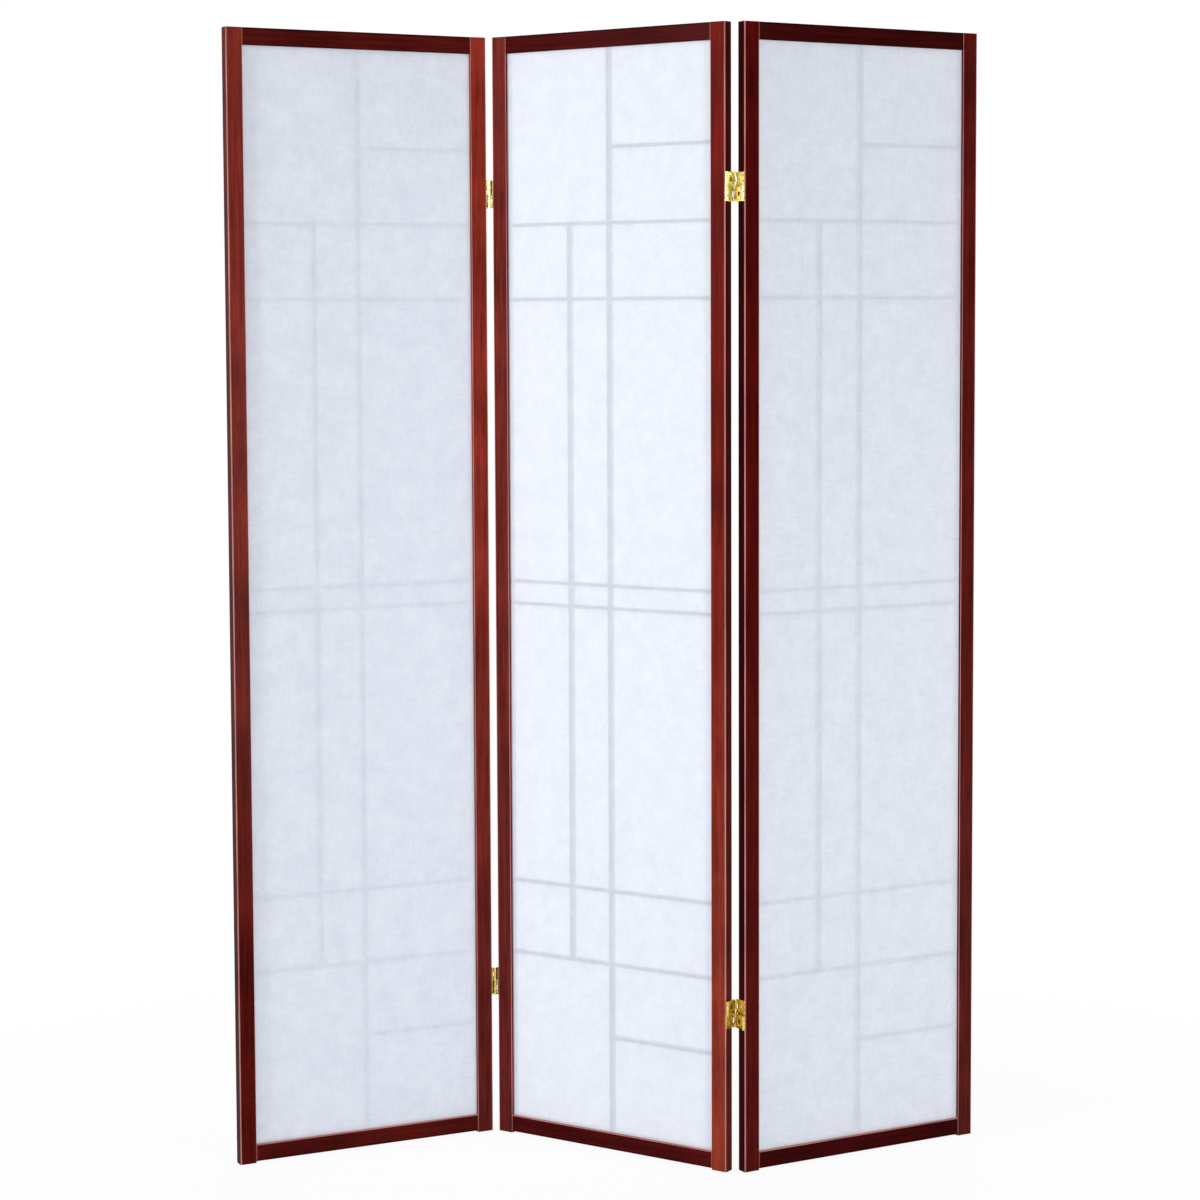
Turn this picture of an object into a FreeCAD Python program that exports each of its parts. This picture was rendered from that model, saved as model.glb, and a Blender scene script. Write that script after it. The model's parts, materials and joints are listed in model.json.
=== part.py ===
import FreeCAD, Part
import math
import os

# Shoji folding screen: three paper panels in a zigzag, joined by two-way hinges.
#
# Every piece is made with the screen laid out flat, side by side along X, and is then
# folded to the standing zigzag. In the flat layout x = 0 is the centre panel's left
# edge, y = 0 is the paper side, y = PANEL_THICK is the lattice side, and z = 0 is the
# floor. The joint on the left folds away from the paper side (the valley), the joint
# on the right folds towards it (the ridge).

# ---- Driving dimensions, millimetres and degrees ----

# Panel frame
PANEL_WIDTH = 438.0
PANEL_HEIGHT = 1785.0
PANEL_THICK = 19.0
STILE_WIDTH = 27.0
TOP_RAIL_HEIGHT = 27.0
BOTTOM_RAIL_HEIGHT = 27.0
FOOT_HEIGHT = 2.5            # the stile ends stand below the bottom rail
OUTER_ARRIS = 2.0            # rounding of a stile's two outer corners
INNER_ARRIS = 1.0            # bevel of the rails' corners and the stiles' inner ones
TENON_LENGTH = 14.0
TENON_THICK = 7.0
TENON_SHOULDER = 5.0         # rail left above and below its tenon
MORTISE_RELIEF = 0.5         # glue room at the end of a tenon

# Paper
PAPER_RECESS = 5.0           # paper face behind the frame's face
PAPER_THICK = 0.5
PAPER_EDGE = 3.5             # paper held inside the groove
GROOVE_RELIEF = 0.5          # groove deeper than the paper reaches
GROOVE_PLAY = 0.1            # groove wider than the paper

# Lattice
BAR_WIDTH = 6.0
BAR_DEPTH = 9.0
BAR_HOUSING = 4.0            # bar ends let into the frame
SHORT_UPRIGHT_OFFSET = 75.5  # short upright to the left of the long one
PAIR_PITCH = 36.0            # the two crossbars at mid height
OUTER_CROSSBAR = 591.0       # outermost full crossbars above and below mid height
CROSSBAR_PITCH = 119.0       # from them to the next bars on either side

# Two-way hinges
PANEL_GAP = 8.0              # between two stiles when the screen is flat
PIN_OFFSET = 2.5             # pin axis out from the face of the panel
PIN_RADIUS = 1.25
HINGE_HEIGHT = 45.0
HINGE_FROM_TOP = 250.0       # hinge centre below the top of the stile
HINGE_FROM_FLOOR = 250.0
LEAF_THICK = 1.2
LINK_THICK = 1.2
KNUCKLE_GAP = 0.3            # end play between knuckles
FACE_GAP = 0.05              # barrel clear of the facing panel when closed
PIN_PLAY = 0.05              # running clearance of a link's knuckle on its pin
LINK_MARGIN = 0.3            # link plate clear of the leaf's knuckles
SCREW_HEAD_RADIUS = 2.6
SCREW_RADIUS = 1.5
SCREW_LENGTH = 14.0
SCREW_POINT = 3.0
SCREW_TIP_RADIUS = 0.4
PILOT_PLAY = 0.05
ACCESS_RADIUS = 3.6          # hole in a link over the leaf's screw
HARDWARE_SIDES = 10          # flat faces round knuckles, bores and screws; the pins are round

# Standing position
VALLEY_ANGLE = 60.0          # degrees that each joint is turned away from flat
RIDGE_ANGLE = 63.0           # degrees

# ---- Sizes that follow ----

OPENING_LEFT = STILE_WIDTH
OPENING_RIGHT = PANEL_WIDTH - STILE_WIDTH
OPENING_BOTTOM = FOOT_HEIGHT + BOTTOM_RAIL_HEIGHT
OPENING_TOP = PANEL_HEIGHT - TOP_RAIL_HEIGHT
OPENING_MIDDLE = (OPENING_BOTTOM + OPENING_TOP) / 2

BAR_FRONT = PAPER_RECESS + PAPER_THICK
BAR_BACK = BAR_FRONT + BAR_DEPTH
BAR_LAP = BAR_FRONT + BAR_DEPTH / 2
LONG_UPRIGHT_X = PANEL_WIDTH / 2
SHORT_UPRIGHT_X = LONG_UPRIGHT_X - SHORT_UPRIGHT_OFFSET
INNER_CROSSBAR = OUTER_CROSSBAR - CROSSBAR_PITCH
SHORT_CROSSBAR = OUTER_CROSSBAR + CROSSBAR_PITCH
CROSSBAR_OFFSETS = (-OUTER_CROSSBAR, -INNER_CROSSBAR, -PAIR_PITCH / 2,
                    PAIR_PITCH / 2, INNER_CROSSBAR, OUTER_CROSSBAR)
CROSSBAR_HEIGHTS = [OPENING_MIDDLE + offset for offset in CROSSBAR_OFFSETS]
SHORT_CROSSBAR_HEIGHTS = [OPENING_MIDDLE - SHORT_CROSSBAR, OPENING_MIDDLE + SHORT_CROSSBAR]

PANEL_PITCH = PANEL_WIDTH + PANEL_GAP
KNUCKLE_RADIUS = PIN_OFFSET - FACE_GAP
LEAF_FACE_X = -PANEL_GAP / 2 + LEAF_THICK
FRONT_PIN_Y = -PIN_OFFSET
BACK_PIN_Y = PANEL_THICK + PIN_OFFSET
HALF_HINGE = HINGE_HEIGHT / 2
KNUCKLE_LENGTH = (HALF_HINGE - 2.5 * KNUCKLE_GAP) / 3
SCREW_Z = HALF_HINGE / 2
HINGE_HEIGHTS = (HINGE_FROM_FLOOR, PANEL_HEIGHT - HINGE_FROM_TOP)
VALLEY_X = -PANEL_GAP / 2
RIDGE_X = PANEL_WIDTH + PANEL_GAP / 2

X_AXIS = FreeCAD.Vector(1, 0, 0)
Y_AXIS = FreeCAD.Vector(0, 1, 0)
Z_AXIS = FreeCAD.Vector(0, 0, 1)


# ---- Solids ----

def block(x_span, y_span, z_span):
    """Box between two values on each axis."""
    corner = FreeCAD.Vector(x_span[0], y_span[0], z_span[0])
    return Part.makeBox(x_span[1] - x_span[0], y_span[1] - y_span[0], z_span[1] - z_span[0], corner)


def moved(solid, x=0.0, y=0.0, z=0.0):
    """Copy of a piece in another place."""
    copy = solid.copy()
    copy.translate(FreeCAD.Vector(x, y, z))
    return copy


def about(middle, width):
    """Span of a width centred on a value."""
    return (middle - width / 2, middle + width / 2)


def edges_along(solid, axis, chosen=lambda middle: True):
    """Straight edges that run along an axis and whose middle is chosen."""
    edges = []
    for edge in solid.Edges:
        along = edge.tangentAt(edge.FirstParameter)
        if abs(along.dot(axis)) > 0.999 and chosen(edge.CenterOfMass):
            edges.append(edge)
    return edges


def flat_face(corners):
    """Face bounded by straight lines between corners in one plane."""
    return Part.Face(Part.makePolygon(corners + corners[:1]))


def faceted(stations):
    """Flat-faced stand-in for a turned solid, from (height, corner radius) up the Z axis."""
    step = 2 * math.pi / HARDWARE_SIDES
    angles = [(side + 0.5) * step for side in range(HARDWARE_SIDES)]
    rings = [[FreeCAD.Vector(radius * math.cos(angle), radius * math.sin(angle), height)
              for angle in angles] for height, radius in stations]
    faces = [flat_face(rings[0]), flat_face(rings[-1])]
    for lower, upper in zip(rings, rings[1:]):
        for side in range(HARDWARE_SIDES):
            faces.append(flat_face([lower[side - 1], lower[side], upper[side], upper[side - 1]]))
    return Part.Solid(Part.Shell(faces))


def corner_radius(radius):
    """Corner radius of a faceted bore whose flats lie on a round bore of a radius."""
    return radius / math.cos(math.pi / HARDWARE_SIDES)


# ---- Panel frame, paper and lattice, with the panel's left edge at x = 0 ----

def groove():
    """Room for the paper's edges all round the opening."""
    reach = PAPER_EDGE + GROOVE_RELIEF
    return block((OPENING_LEFT - reach, OPENING_RIGHT + reach),
                 (PAPER_RECESS - GROOVE_PLAY, PAPER_RECESS + PAPER_THICK),
                 (OPENING_BOTTOM - reach, OPENING_TOP + reach))


def paper():
    """Sheet glued to the lattice with its edges in the frame's groove."""
    return block((OPENING_LEFT - PAPER_EDGE, OPENING_RIGHT + PAPER_EDGE),
                 (PAPER_RECESS, PAPER_RECESS + PAPER_THICK),
                 (OPENING_BOTTOM - PAPER_EDGE, OPENING_TOP + PAPER_EDGE))


def crossbar_blank(height, left=OPENING_LEFT - BAR_HOUSING):
    """Crossbar before its laps, housed in the right stile and, if full width, the left."""
    return block((left, OPENING_RIGHT + BAR_HOUSING), (BAR_FRONT, BAR_BACK), about(height, BAR_WIDTH))


def short_crossbar_blank(height):
    """Crossbar from the long upright's far side to the right stile."""
    return crossbar_blank(height, LONG_UPRIGHT_X - BAR_WIDTH / 2)


def upright_blank(x, low, high):
    """Upright before its laps."""
    return block(about(x, BAR_WIDTH), (BAR_FRONT, BAR_BACK), (low, high))


def long_upright_blank():
    """Upright housed in both rails."""
    return upright_blank(LONG_UPRIGHT_X, OPENING_BOTTOM - BAR_HOUSING, OPENING_TOP + BAR_HOUSING)


def short_upright_blank():
    """Upright between the outermost full crossbars, lapped onto them at its ends."""
    low = CROSSBAR_HEIGHTS[0] - BAR_WIDTH / 2
    high = CROSSBAR_HEIGHTS[-1] + BAR_WIDTH / 2
    return upright_blank(SHORT_UPRIGHT_X, low, high)


def front_halves(blanks):
    """The paper-side half of each bar, which an upright gives up to it at a lap."""
    layer = block((0, PANEL_WIDTH), (BAR_FRONT, BAR_LAP), (0, PANEL_HEIGHT))
    return [blank.common(layer) for blank in blanks]


def back_halves(blanks):
    """The lattice-side half of each bar, which a crossbar gives up to it at a lap."""
    layer = block((0, PANEL_WIDTH), (BAR_LAP, BAR_BACK), (0, PANEL_HEIGHT))
    return [blank.common(layer) for blank in blanks]


def lattice():
    """Half-lapped bars of one panel, by node name."""
    crossbars = [crossbar_blank(height) for height in CROSSBAR_HEIGHTS]
    short_crossbars = [short_crossbar_blank(height) for height in SHORT_CROSSBAR_HEIGHTS]
    uprights = [long_upright_blank(), short_upright_blank()]
    over = front_halves(crossbars + short_crossbars)
    under = back_halves(uprights)
    bars = {"long_upright": uprights[0].cut(over), "short_upright": uprights[1].cut(over)}
    for number, crossbar in enumerate(crossbars, start=1):
        bars[f"crossbar_{number}"] = crossbar.cut(under)
    bars["short_crossbars"] = Part.makeCompound([bar.cut(under) for bar in short_crossbars])
    return bars


def tenons(low, high, relief=0.0):
    """Tenons at both ends of a rail, or with a relief the mortises that take them."""
    reach = TENON_LENGTH + relief
    ends = []
    for x_span in ((OPENING_LEFT - reach, OPENING_LEFT), (OPENING_RIGHT, OPENING_RIGHT + reach)):
        ends.append(block(x_span, about(PANEL_THICK / 2, TENON_THICK),
                          (low + TENON_SHOULDER, high - TENON_SHOULDER)))
    return ends


def rail(low, high):
    """Rail between the stiles, grooved for the paper and housed for the long upright."""
    body = block((OPENING_LEFT, OPENING_RIGHT), (0, PANEL_THICK), (low, high))
    body = body.makeChamfer(INNER_ARRIS, edges_along(body, X_AXIS))
    return body.fuse(tenons(low, high)).cut([groove(), long_upright_blank()])


def stile(left_side, screw_holes):
    """Full-height stile of one side, with its mortises, groove, housings and pilot holes."""
    span = (0, STILE_WIDTH) if left_side else (OPENING_RIGHT, PANEL_WIDTH)
    inner_x = OPENING_LEFT if left_side else OPENING_RIGHT
    body = block(span, (0, PANEL_THICK), (0, PANEL_HEIGHT))
    inner = edges_along(body, Z_AXIS, lambda middle: abs(middle.x - inner_x) < STILE_WIDTH / 2)
    body = body.makeChamfer(INNER_ARRIS, inner)
    outer = edges_along(body, Z_AXIS, lambda middle: abs(middle.x - inner_x) > STILE_WIDTH / 2)
    body = body.makeFillet(OUTER_ARRIS, outer)
    cuts = [groove()]
    cuts += tenons(FOOT_HEIGHT, OPENING_BOTTOM, MORTISE_RELIEF)
    cuts += tenons(OPENING_TOP, PANEL_HEIGHT, MORTISE_RELIEF)
    cuts += [crossbar_blank(height) for height in CROSSBAR_HEIGHTS]
    cuts += [short_crossbar_blank(height) for height in SHORT_CROSSBAR_HEIGHTS]
    return body.cut(cuts + screw_holes)


# ---- Two-way hinge, with the gap's middle at x = 0 and the hinge's middle at z = 0 ----
#
# Each hinge is two leaves, two links and four pins. The upper link goes from the left
# leaf's paper-side knuckles to the right leaf's lattice-side ones, and the lower link
# crosses the other way. Folding one way turns the joint about the paper-side pins,
# folding the other way about the lattice-side pins.

def turned_about_gap(solid):
    """The same piece for the other panel: a half turn about the gap's middle."""
    copy = solid.copy()
    copy.rotate(FreeCAD.Vector(0, PANEL_THICK / 2, 0), Z_AXIS, 180)
    return copy


def flipped_over(solid):
    """The same piece for the hinge's lower half and the other face."""
    copy = solid.copy()
    copy.rotate(FreeCAD.Vector(0, PANEL_THICK / 2, 0), X_AXIS, 180)
    return copy


def knuckle_spans():
    """Heights of the outer, middle and outer knuckles of the upper half."""
    spans = []
    low = KNUCKLE_GAP / 2
    for _ in range(3):
        spans.append((low, low + KNUCKLE_LENGTH))
        low += KNUCKLE_LENGTH + KNUCKLE_GAP
    return spans


def round_pin(y, span):
    """Truly round pin on a pin axis."""
    return Part.makeCylinder(PIN_RADIUS, span[1] - span[0], FreeCAD.Vector(0, y, span[0]), Z_AXIS)


def faceted_upright(radius, y, span):
    """Faceted cylinder on a pin axis."""
    return moved(faceted([(span[0], radius), (span[1], radius)]), y=y)


def faceted_into_stile(stations):
    """Faceted solid on the left leaf's upper screw axis, by depth from the leaf's face."""
    solid = faceted(stations)
    solid.rotate(FreeCAD.Vector(0, 0, 0), Y_AXIS, -90)
    return moved(solid, LEAF_FACE_X, PANEL_THICK / 2, SCREW_Z)


def leaf_curl(span):
    """One knuckle of the left leaf's upper half, with the bend that carries it."""
    plate_x = (-PANEL_GAP / 2, LEAF_FACE_X)
    neck = about(FRONT_PIN_Y, LEAF_THICK)
    wrap = block(plate_x, (neck[0], LEAF_THICK), span)
    bend = block((plate_x[0], -PIN_RADIUS), neck, span)
    return wrap.fuse([bend, faceted_upright(KNUCKLE_RADIUS, FRONT_PIN_Y, span)])


def screw():
    """Countersunk screw through the left leaf, pointing into the stile."""
    return faceted_into_stile([(0, SCREW_HEAD_RADIUS), (LEAF_THICK, SCREW_RADIUS),
                               (SCREW_LENGTH - SCREW_POINT, SCREW_RADIUS),
                               (SCREW_LENGTH, SCREW_TIP_RADIUS)])


def screw_hole():
    """Hole that the screw's shank and countersink need."""
    return faceted_into_stile([(0, SCREW_HEAD_RADIUS + PILOT_PLAY),
                               (LEAF_THICK, SCREW_RADIUS + PILOT_PLAY),
                               (SCREW_LENGTH, SCREW_RADIUS + PILOT_PLAY)])


def leaf():
    """Left leaf: paper-side knuckles in its upper half, lattice-side ones in its lower."""
    plate = block((-PANEL_GAP / 2, LEAF_FACE_X), (0, PANEL_THICK), about(0, HINGE_HEIGHT))
    low, _, high = knuckle_spans()
    curls = [leaf_curl(low), leaf_curl(high)]
    body = plate.fuse(curls + [flipped_over(curl) for curl in curls])
    bore = faceted_upright(corner_radius(PIN_RADIUS), FRONT_PIN_Y, (0, HALF_HINGE))
    body = body.cut([bore, flipped_over(bore), screw_hole(), flipped_over(screw_hole())])
    return body.removeSplitter()


def link():
    """Upper link: a plate across the gap with a knuckle at each face of the panels."""
    low, middle, high = knuckle_spans()
    plate = block(about(0, LINK_THICK), (LINK_MARGIN, PANEL_THICK - LINK_MARGIN), (low[0], high[1]))
    neck = block(about(0, LINK_THICK), (FRONT_PIN_Y, BACK_PIN_Y), middle)
    bore_radius = corner_radius(PIN_RADIUS + PIN_PLAY)
    knuckles = [faceted_upright(KNUCKLE_RADIUS, y, middle) for y in (FRONT_PIN_Y, BACK_PIN_Y)]
    bores = [faceted_upright(bore_radius, y, middle) for y in (FRONT_PIN_Y, BACK_PIN_Y)]
    access = faceted_into_stile([(-PANEL_GAP, ACCESS_RADIUS), (PANEL_GAP, ACCESS_RADIUS)])
    return plate.fuse([neck] + knuckles).cut(bores + [access]).removeSplitter()


def lower_link():
    """The same link in the hinge's lower half."""
    return flipped_over(link())


def pin():
    """Pin through the left leaf's upper paper-side knuckles and the link between them."""
    spans = knuckle_spans()
    return round_pin(FRONT_PIN_Y, (spans[0][0], spans[-1][1]))


def stub_pins():
    """The same pin where its middle is left out, so that the link can swing clear."""
    low, _, high = knuckle_spans()
    return [faceted_upright(PIN_RADIUS, FRONT_PIN_Y, span) for span in (low, high)]


# ---- The screen laid out flat ----

def at_each_hinge(solids, joint_x):
    """A hinge's pieces at both heights of one joint."""
    return [moved(solid, x=joint_x, z=height) for height in HINGE_HEIGHTS for solid in solids]


def pilot_holes(left_side):
    """Screw holes in a hinged stile, in its own panel's place."""
    holes = [screw_hole(), flipped_over(screw_hole())]
    if left_side:
        return at_each_hinge([turned_about_gap(hole) for hole in holes], VALLEY_X)
    return at_each_hinge(holes, RIDGE_X)


def panel_nodes(name, left_hinged, right_hinged):
    """Frame, paper and lattice of one panel, by node name."""
    nodes = {
        "left_stile": stile(True, pilot_holes(True) if left_hinged else []),
        "right_stile": stile(False, pilot_holes(False) if right_hinged else []),
        "top_rail": rail(OPENING_TOP, PANEL_HEIGHT),
        "bottom_rail": rail(FOOT_HEIGHT, OPENING_BOTTOM),
        "paper": paper(),
    }
    nodes.update(lattice())
    return {f"{name}_{node}": solid for node, solid in nodes.items()}


def hinge_nodes():
    """Leaves, links, pins and screws of both joints, by carrying panel and node name."""
    screws = [screw(), flipped_over(screw())]
    far_screws = [turned_about_gap(solid) for solid in screws]
    pins = [pin(), flipped_over(pin())]
    upper_far_pin = turned_about_gap(pin())
    open_stubs = [flipped_over(stub) for stub in stub_pins()]
    far_stubs = [turned_about_gap(stub) for stub in open_stubs]
    far_leaf = turned_about_gap(leaf())
    return {
        "left": {
            "valley_leaves_left": at_each_hinge([leaf()], VALLEY_X),
            "valley_lower_links": at_each_hinge([lower_link()], VALLEY_X),
            "hinge_pins_left": at_each_hinge(pins, VALLEY_X),
            "hinge_screws_left": at_each_hinge(screws, VALLEY_X),
        },
        "centre": {
            "valley_leaves_centre": at_each_hinge([far_leaf], VALLEY_X),
            "valley_upper_links": at_each_hinge([link()], VALLEY_X),
            "ridge_leaves_centre": at_each_hinge([leaf()], RIDGE_X),
            "ridge_upper_links": at_each_hinge([link()], RIDGE_X),
            "hinge_pins_centre": (at_each_hinge([upper_far_pin] + far_stubs, VALLEY_X)
                                  + at_each_hinge([pin()] + open_stubs, RIDGE_X)),
            "hinge_screws_centre": (at_each_hinge(far_screws, VALLEY_X)
                                    + at_each_hinge(screws, RIDGE_X)),
        },
        "right": {
            "ridge_leaves_right": at_each_hinge([far_leaf], RIDGE_X),
            "ridge_lower_links": at_each_hinge([lower_link()], RIDGE_X),
            "hinge_pins_right": at_each_hinge([turned_about_gap(solid) for solid in pins], RIDGE_X),
            "hinge_screws_right": at_each_hinge(far_screws, RIDGE_X),
        },
    }


# ---- The screen standing ----

VALLEY_PIN = FreeCAD.Vector(VALLEY_X, FRONT_PIN_Y, 0)
RIDGE_PIN = FreeCAD.Vector(RIDGE_X, BACK_PIN_Y, 0)


def turn(pivot, degrees):
    """Placement that turns about an upright axis."""
    return FreeCAD.Placement(FreeCAD.Vector(0, 0, 0), FreeCAD.Rotation(Z_AXIS, degrees), pivot)


def plan_circles(folds):
    """Circles that bound the folded screen in plan: panel corners and hinge barrels."""
    circles = []
    for index, name in enumerate(("left", "centre", "right")):
        left = (index - 1) * PANEL_PITCH
        for x in (left + OUTER_ARRIS, left + PANEL_WIDTH - OUTER_ARRIS):
            for y in (OUTER_ARRIS, PANEL_THICK - OUTER_ARRIS):
                circles.append((folds[name].multVec(FreeCAD.Vector(x, y, 0)), OUTER_ARRIS))
        for joint_x in (VALLEY_X, RIDGE_X):
            near = abs(left + PANEL_WIDTH / 2 - joint_x) < PANEL_PITCH
            for y in (FRONT_PIN_Y, BACK_PIN_Y):
                if near:
                    circles.append((folds[name].multVec(FreeCAD.Vector(joint_x, y, 0)), KNUCKLE_RADIUS))
    return circles


def standing_placements():
    """Placement of each panel's pieces, centred in plan with the general line along X."""
    level = FreeCAD.Rotation(Z_AXIS, -(VALLEY_ANGLE + RIDGE_ANGLE) / 4)
    level = FreeCAD.Placement(FreeCAD.Vector(0, 0, 0), level)
    folds = {
        "left": level.multiply(turn(VALLEY_PIN, VALLEY_ANGLE)),
        "centre": level,
        "right": level.multiply(turn(RIDGE_PIN, RIDGE_ANGLE)),
    }
    circles = plan_circles(folds)
    middle_x = (min(c.x - r for c, r in circles) + max(c.x + r for c, r in circles)) / 2
    middle_y = (min(c.y - r for c, r in circles) + max(c.y + r for c, r in circles)) / 2
    centring = FreeCAD.Placement(FreeCAD.Vector(-middle_x, -middle_y, 0), FreeCAD.Rotation())
    return {name: centring.multiply(fold) for name, fold in folds.items()}


def screen_nodes():
    """Every node of the standing screen."""
    placements = standing_placements()
    hinges = hinge_nodes()
    nodes = {}
    for index, name in enumerate(("left", "centre", "right")):
        pieces = {}
        for node, solid in panel_nodes(name, index > 0, index < 2).items():
            pieces[node] = [moved(solid, (index - 1) * PANEL_PITCH)]
        pieces.update(hinges[name])
        for node, solids in pieces.items():
            group = Part.makeCompound(solids) if len(solids) > 1 else solids[0]
            group.Placement = placements[name].multiply(group.Placement)
            nodes[node] = group
    return nodes


def main():
    os.makedirs("parts", exist_ok=True)
    for node, shape in screen_nodes().items():
        shape.exportStep(os.path.join("parts", f"{node}.step"))
        print(node, len(shape.Solids), round(shape.Volume, 1))


main()
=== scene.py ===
import json
import math
import bmesh
import bpy
from mathutils import Matrix, Vector


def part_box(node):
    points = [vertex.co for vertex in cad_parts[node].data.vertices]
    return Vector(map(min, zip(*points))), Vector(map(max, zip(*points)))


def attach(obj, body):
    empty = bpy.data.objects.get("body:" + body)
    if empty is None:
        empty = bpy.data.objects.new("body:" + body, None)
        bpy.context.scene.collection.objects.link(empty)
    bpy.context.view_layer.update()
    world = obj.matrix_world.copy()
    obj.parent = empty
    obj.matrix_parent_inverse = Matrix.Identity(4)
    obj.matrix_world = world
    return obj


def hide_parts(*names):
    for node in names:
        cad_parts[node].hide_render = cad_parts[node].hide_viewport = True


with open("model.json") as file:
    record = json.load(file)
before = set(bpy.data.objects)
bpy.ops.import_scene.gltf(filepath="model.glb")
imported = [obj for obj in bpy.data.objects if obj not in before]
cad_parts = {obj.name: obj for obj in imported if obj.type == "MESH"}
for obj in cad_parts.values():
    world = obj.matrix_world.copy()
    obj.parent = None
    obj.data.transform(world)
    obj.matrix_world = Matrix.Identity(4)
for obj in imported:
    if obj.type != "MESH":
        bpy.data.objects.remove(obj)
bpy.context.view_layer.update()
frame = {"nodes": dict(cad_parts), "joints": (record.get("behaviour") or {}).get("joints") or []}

# ---- Stiles and rails ----
# Each panel is a frame of two full-height stiles with two rails tenoned between them.
# It is a pale close-grained hardwood, stained dark cherry and finished in satin lacquer,
# so that short pores and long streaks show as darker lines along each piece.

PANELS = ("left", "centre", "right")
STREAK_SCALE = 210.0        # streaks to the metre across the grain
PORE_SCALE = 1500.0
CLOUD_SCALE = 9.0           # lighter and darker passages of the stain
CLOUD_SHARE = 0.40          # of them in the figure, beside the streaks
GRAIN_STRETCH = 0.035       # how much slower the figure changes along the grain
STILE_STAIN = {             # each stile's colour at its head and near its foot; a head lighter than its foot is partly painted sheen
    "left": {"left_stile": ((0.198, 0.0245, 0.0165), (0.079, 0.0050, 0.0035)),
             "right_stile": ((0.266, 0.0290, 0.0165), (0.120, 0.0150, 0.0120))},
    "centre": {"left_stile": ((0.154, 0.0205, 0.0160), (0.112, 0.0150, 0.0135)),
               "right_stile": ((0.138, 0.0075, 0.0045), (0.236, 0.0320, 0.0180))},
    "right": {"left_stile": ((0.078, 0.0028, 0.0026), (0.082, 0.0058, 0.0046)),
              "right_stile": ((0.096, 0.0078, 0.0060), (0.090, 0.0122, 0.0105))},
}
RAIL_STAIN = {
    "left": (0.074, 0.0060, 0.0046),
    "centre": (0.062, 0.0042, 0.0042),
    "right": (0.042, 0.0026, 0.0026),
}
FOOT_STAIN_HEIGHT, HEAD_STAIN_HEIGHT = 0.30, 1.20   # it changes between these heights
EDGE_SHADE_SHARE = 0.42           # of the wood's colour left under the painted shade on the narrow edges
DEEP_SHARE = 0.55           # of the stain's colour in the deepest streaks
RUBBED_SHARE = 1.50         # and where it was wiped off most
PORE_COLOUR = (0.035, 0.003, 0.002)
ARRIS_HIGHLIGHT_COLOUR = (0.52, 0.235, 0.215, 1)   # painted highlight along the rounded corners, in a pale wood colour
ARRIS_HIGHLIGHT_WIDTH = 0.0026        # reach of the painted highlight on a stile's face, at its outer corner
INNER_ARRIS_HIGHLIGHT_WIDTH = 0.0011  # and beside the paper
ARRIS_HIGHLIGHT_DEPTH = 0.0014        # and of its edge
BACK_HIGHLIGHT_SHARE = 0.4             # the painted highlight is weaker on the lattice side
STREAKY_MARK_STEPS = (0.30, 0.60)            # painted marks from half to full strength, along the streaks
SHOULDER_HIGHLIGHT = (0.36, 0.15, 0.11, 1)  # painted highlight in a fine line where a rail meets a stile
SHOULDER_HIGHLIGHT_WIDTH = 0.0007
EDGE_SHADE_DEPTH = 0.0014         # reach of the painted shade at a stile's narrow edge
RAIL_EDGE_SHADE_DEPTH = 0.0030    # and at a rail's outer edge
# reach of the painted shade on the top rail's lower edge and of the painted highlight on the bottom rail's
# upper arris
RAIL_INNER_MARK_REACH = 0.0016
LACQUER_ROUGHNESS = 0.22
LACQUER_GLOSS = 0.012       # a rubbed satin coat shines very little
PORE_DEPTH = 0.00003


def add_node(tree, kind, inputs=(), **settings):
    """New shader node, its inputs set from values or joined to other nodes' sockets."""
    node = tree.nodes.new(kind)
    for setting, value in settings.items():
        setattr(node, setting, value)
    for name, value in dict(inputs).items():
        if isinstance(value, bpy.types.NodeSocket):
            tree.links.new(value, node.inputs[name])
        else:
            node.inputs[name].default_value = value
    return node


def new_finish(name):
    """New material with its node tree and its main shader."""
    material = bpy.data.materials.new(name)
    material.use_nodes = True
    tree = material.node_tree
    return material, tree, tree.nodes["Principled BSDF"]


def colour_steps(tree, value, steps):
    """Colour ramp through (place, colour) steps."""
    ramp = add_node(tree, "ShaderNodeValToRGB", {"Fac": value})
    for _ in steps[2:]:
        ramp.color_ramp.elements.new(0.5)
    for element, (place, colour) in zip(ramp.color_ramp.elements, steps):
        element.position = place
        element.color = colour
    return ramp.outputs["Color"]


def shade(level):
    """Grey of one level, for ramps that steer other values."""
    return (level, level, level, 1)


def mixed(tree, factor, first, second, blend="MIX"):
    """Colour mix of two colours or sockets."""
    node = add_node(tree, "ShaderNodeMix", data_type="RGBA", blend_type=blend)
    for socket, value in zip((node.inputs[0], node.inputs[6], node.inputs[7]), (factor, first, second)):
        if isinstance(value, bpy.types.NodeSocket):
            tree.links.new(value, socket)
        else:
            socket.default_value = value
    return node.outputs[2]


def middle(node):
    """Middle of a node's box."""
    low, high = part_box(node)
    return (low + high) / 2


def panel_turn(panel):
    """Turn of a panel about the upright, from the line of its left and right stiles."""
    along = middle(f"{panel}_right_stile") - middle(f"{panel}_left_stile")
    return math.atan2(along.y, along.x)


def panel_coordinates(tree, panel):
    """Place on the panel: x along its width, y through its thickness, z up."""
    here = add_node(tree, "ShaderNodeTexCoord").outputs["Object"]
    turned = add_node(tree, "ShaderNodeMapping", {"Vector": here, "Rotation": (0, 0, -panel_turn(panel))})
    return turned.outputs["Vector"]


def span(node, panel):
    """Width and thickness of a whole panel or a piece of it, across and through the panel."""
    back = Matrix.Rotation(-panel_turn(panel), 3, "Z")
    spots = [back @ vertex.co for vertex in frame["nodes"][node].data.vertices]
    across = min(spot.x for spot in spots), max(spot.x for spot in spots)
    through = min(spot.y for spot in spots), max(spot.y for spot in spots)
    return across, through


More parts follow.
